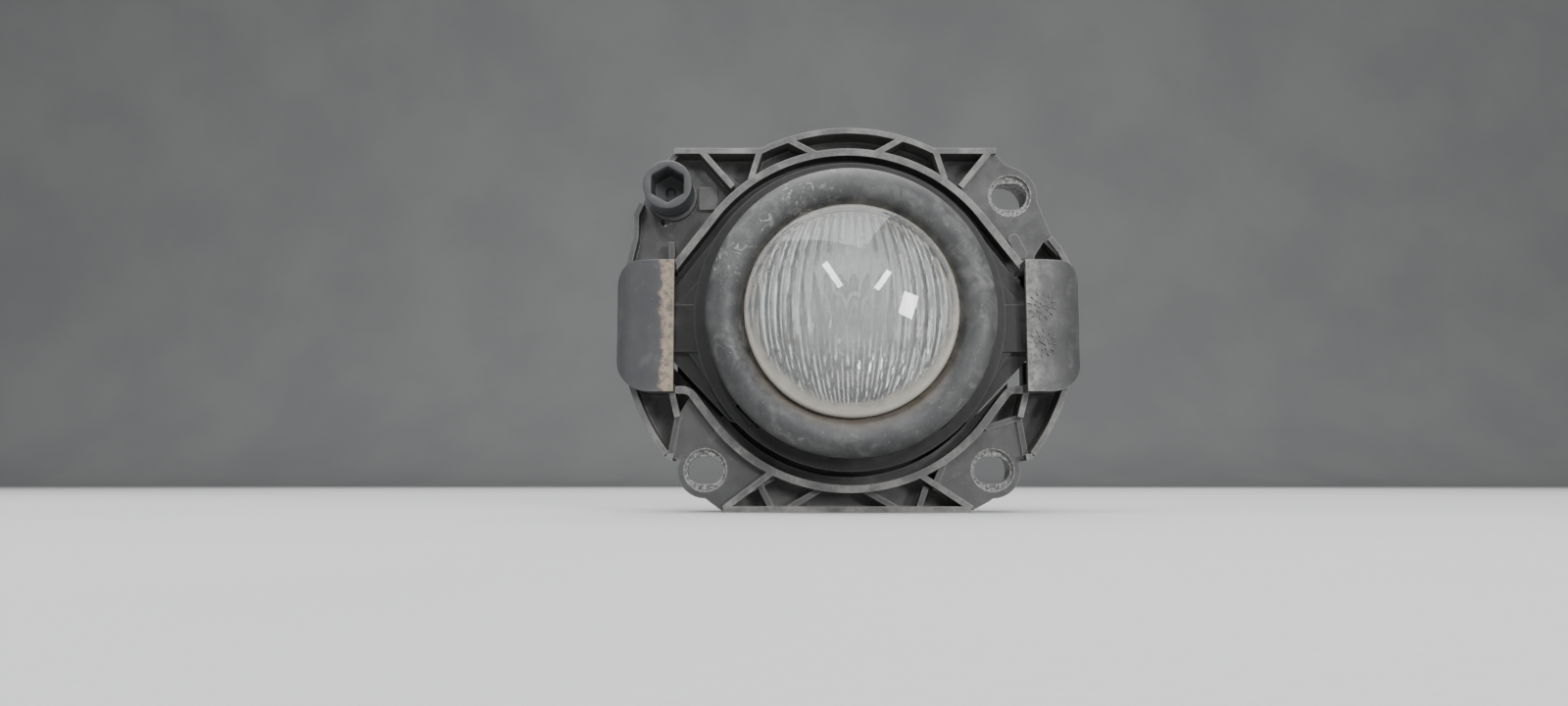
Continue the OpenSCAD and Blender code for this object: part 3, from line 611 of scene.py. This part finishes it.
def lens_material():
    """Fluted glass under a milky film, with painted white glints along the flute edges and sealant showing
    at its rim.
    """
    s = Shader("lens_glass")
    x, y, z = s.axis("X"), s.axis("Y"), s.axis("Z")
    radius = s.radius()
    # 1 on the fluted inner face, 0 on the outer dome, which both bulge alike
    bulge = s.math("MULTIPLY", s.math("MULTIPLY", radius, radius), 0.5 / (DOME_R * MM))
    inside = s.band(s.math("SUBTRACT", y, bulge), -0.0252, -0.0248)
    squeeze = s.math("DIVIDE", z, POLE * MM)
    squeeze = s.math("SQRT", s.math("SUBTRACT", 1.0, s.math("MULTIPLY", squeeze, squeeze)))
    u = s.math("DIVIDE", s.math("DIVIDE", x, LENS_R * MM), squeeze)
    phase = s.math("ADD", s.math("MULTIPLY", u, FLUTES / 2), 0.5)
    off = s.math("ABSOLUTE", s.math("SUBTRACT", s.math("FRACT", phase), 0.5))
    # Painted glints: white lines along the flute edges, broken along their length and kept off the middle of
    # the lens.
    line = s.math("MAXIMUM", s.band(off, 0.36, 0.43), s.math("MULTIPLY", s.band(off, 0.12, 0.05), 0.7))
    long_noise = s.node("ShaderNodeMapping", {"Vector": s.place, "Scale": (1, 1, 0.16)}).outputs[0]
    broken = s.band(s.noise(900, 5, 0.7, at=long_noise), 0.40, 0.54)
    where = s.math("MAXIMUM", s.band(s.math("ABSOLUTE", x), 0.004, 0.013), s.band(z, -0.002, -0.011))
    painted_glint_streak = s.math("MULTIPLY", s.math("MULTIPLY", line, broken), s.math("MULTIPLY", inside, where))
    patches = s.band(s.noise(160, 7, 0.68), 0.42, 0.75)
    grains = s.band(s.noise(2600, 3, 0.6), 0.62, 0.75)
    film = s.math("ADD", s.math("MULTIPLY", patches, 0.1), s.band(radius, 0.015, 0.005, 0.12, 0.36))
    film = s.math("ADD", film, s.math("MULTIPLY", grains, 0.14), clamp=True)
    # sealant that has crept under the rim of the glass, broadest at the bottom
    uneven = s.math("MULTIPLY", s.noise(260, 6, 0.65), 0.0028)
    deep = s.band(z, 0.008, -0.018, -0.0009, 0.0014)
    reach = s.math("ADD", s.math("ADD", radius, uneven), deep)
    cream = s.math("MULTIPLY", s.band(reach, 0.0200, 0.0226), 0.9)
    glass = s.node("ShaderNodeBsdfPrincipled", {
        "Base Color": (0.97, 0.985, 0.985), "Roughness": 0.03, "IOR": 1.5,
        "Transmission Weight": 1.0})
    dust = s.node("ShaderNodeBsdfDiffuse", {"Color": (0.40, 0.405, 0.40)})
    # The white of the painted glints.
    glint_white = s.node("ShaderNodeBsdfDiffuse", {"Color": (0.93, 0.94, 0.94)})
    bead = s.node("ShaderNodeBsdfPrincipled", {
        "Base Color": s.mix(s.noise(500, 6, 0.7), (0.22, 0.205, 0.175), (0.38, 0.36, 0.32)),
        "Roughness": 0.35})
    shader = glass
    for share, layer in ((film, dust), (painted_glint_streak, glint_white), (cream, bead)):
        shader = s.node("ShaderNodeMixShader", {0: share, 1: shader.outputs[0], 2: layer.outputs[0]})
    s.surface(shader.outputs[0])
    return s.material


def mirror_metal(name, colour, rough):
    s = Shader(name)
    haze = s.noise(120, 5)
    s.principled(Base_Color=s.mix(haze, colour, tuple(c * 0.88 for c in colour)), Metallic=1.0,
                 Roughness=s.band(haze, 0.35, 0.75, rough, rough * 2.2),
                 Normal=s.bump(s.noise(1500, 3), 0.00003, 0.25))
    return s.material


def dull_metal(name, colour, rough=0.35):
    s = Shader(name)
    stain = s.noise(500, 5)
    s.principled(Base_Color=s.mix(s.band(stain, 0.4, 0.7), colour, tuple(c * 0.6 for c in colour)),
                 Metallic=1.0, Roughness=s.band(stain, 0.3, 0.7, rough, rough + 0.2),
                 Normal=s.bump(s.noise(2500, 3), 0.00004, 0.4))
    return s.material


def plain_plastic(name, colour, rough=0.45, grime=(0.1, 0.085, 0.065)):
    s = Shader(name)
    dirt = s.math("MULTIPLY", s.band(s.noise(400, 6, 0.65), 0.5, 0.75), 0.5)
    corner = s.math("MULTIPLY", s.band(s.crevice(0.003), 0.3, 0.9), 0.6)
    tone = s.mix(s.math("MAXIMUM", dirt, corner), colour, grime)
    s.principled(Base_Color=tone, Roughness=s.band(s.noise(700, 3), 0.3, 0.7, rough, rough + 0.15),
                 Normal=s.bump(s.noise(3000, 3), 0.00005, 0.5))
    return s.material


def make_materials():
    return {
        "bracket_plastic": worn_plastic(
            "bracket_plastic", (0.027, 0.027, 0.028), (0.052, 0.052, 0.052), (0.125, 0.125, 0.122),
            (0.18, 0.176, 0.168), speckle=0.6, extra=bracket_wear_and_shade),
        "housing_plastic": worn_plastic(
            "housing_plastic", (0.007, 0.007, 0.0075), (0.015, 0.015, 0.0155), (0.036, 0.036, 0.036),
            (0.06, 0.06, 0.06), dust_amount=0.16, speckle=0.35, rough=(0.32, 0.55), gloss=0.25),
        "bezel_plastic": worn_plastic(
            "bezel_plastic", (0.020, 0.021, 0.022), (0.050, 0.0505, 0.051), (0.18, 0.18, 0.177),
            (0.15, 0.15, 0.148), dust_amount=0.22, speckle=0.65, extra=bezel_wear_and_highlight),
        "adjuster_plastic": worn_plastic(
            "adjuster_plastic", (0.024, 0.0255, 0.028), (0.044, 0.046, 0.050), (0.10, 0.103, 0.106),
            (0.15, 0.153, 0.158), dust_amount=0.35, speckle=0.4),
        "reflector_mirror": mirror_metal("reflector_mirror", (0.86, 0.87, 0.88), 0.05),
        "lens_glass": lens_material(),
        "bulb_glass": clear_glass("bulb_glass"),
        "sealant": plain_plastic("sealant", (0.62, 0.56, 0.44), 0.6, (0.34, 0.26, 0.17)),
        "bush_plastic": plain_plastic("bush_plastic", (0.68, 0.66, 0.6), 0.4),
        "rubber": plain_plastic("rubber", (0.018, 0.018, 0.019), 0.65),
        "base_plastic": plain_plastic("base_plastic", (0.016, 0.016, 0.017), 0.4),
        "seal_rubber": plain_plastic("seal_rubber", (0.25, 0.06, 0.03), 0.5),
        "steel": dull_metal("steel", (0.6, 0.6, 0.6)),
        "tungsten": dull_metal("tungsten", (0.3, 0.29, 0.28)),
        "terminal_metal": dull_metal("terminal_metal", (0.66, 0.6, 0.42), 0.3),
    }


def dress_nodes(materials):
    """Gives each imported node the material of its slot."""
    for part in frame["record"]["subparts"]:
        mesh = nodes[part["node"]].data
        mesh.materials.clear()
        mesh.materials.append(materials[part["material_slot"]])


# ---------------------------------------------------------------- lights

def make_lights():
    """A broad light overhead, weaker ones around, and three small lamps that the dome mirrors."""
    aim = mm(0, 0, 0)
    add_light("sky", mm(-150, -350, 1300), aim, 1.5, 40, (0.97, 0.985, 1.0))
    add_light("sky_back", mm(200, 1000, 1100), aim, 1.2, 14, (1.0, 0.99, 0.97))
    add_light("fill_left", mm(-1300, -500, 350), aim, 0.7, 4)
    add_light("fill_right", mm(1300, -700, 250), aim, 0.7, 3)
    mirrored = (("tube_left", mm(-150, -1099, 521), 0.07, 0.33, 4.2, 33),
                ("tube_right", mm(387, -1069, 459), 0.06, 0.26, 3.4, -38),
                ("window", mm(654, -1019, 196), 0.17, 0.26, 8, -20))
    for name, at, width, height, power, turn in mirrored:
        light = add_light(name, at, aim, width, power, size_y=height)
        light.rotation_quaternion @= Quaternion((0, 0, 1), math.radians(turn))


make_camera()
make_stage()
make_lights()
slots = make_materials()
dress_nodes(slots)
build_lens(slots["lens_glass"])
build_sealant_film(slots["sealant"])
build_screw(slots["adjuster_plastic"])
build_filament(slots["tungsten"])
build_date_marks(slots["bracket_plastic"])
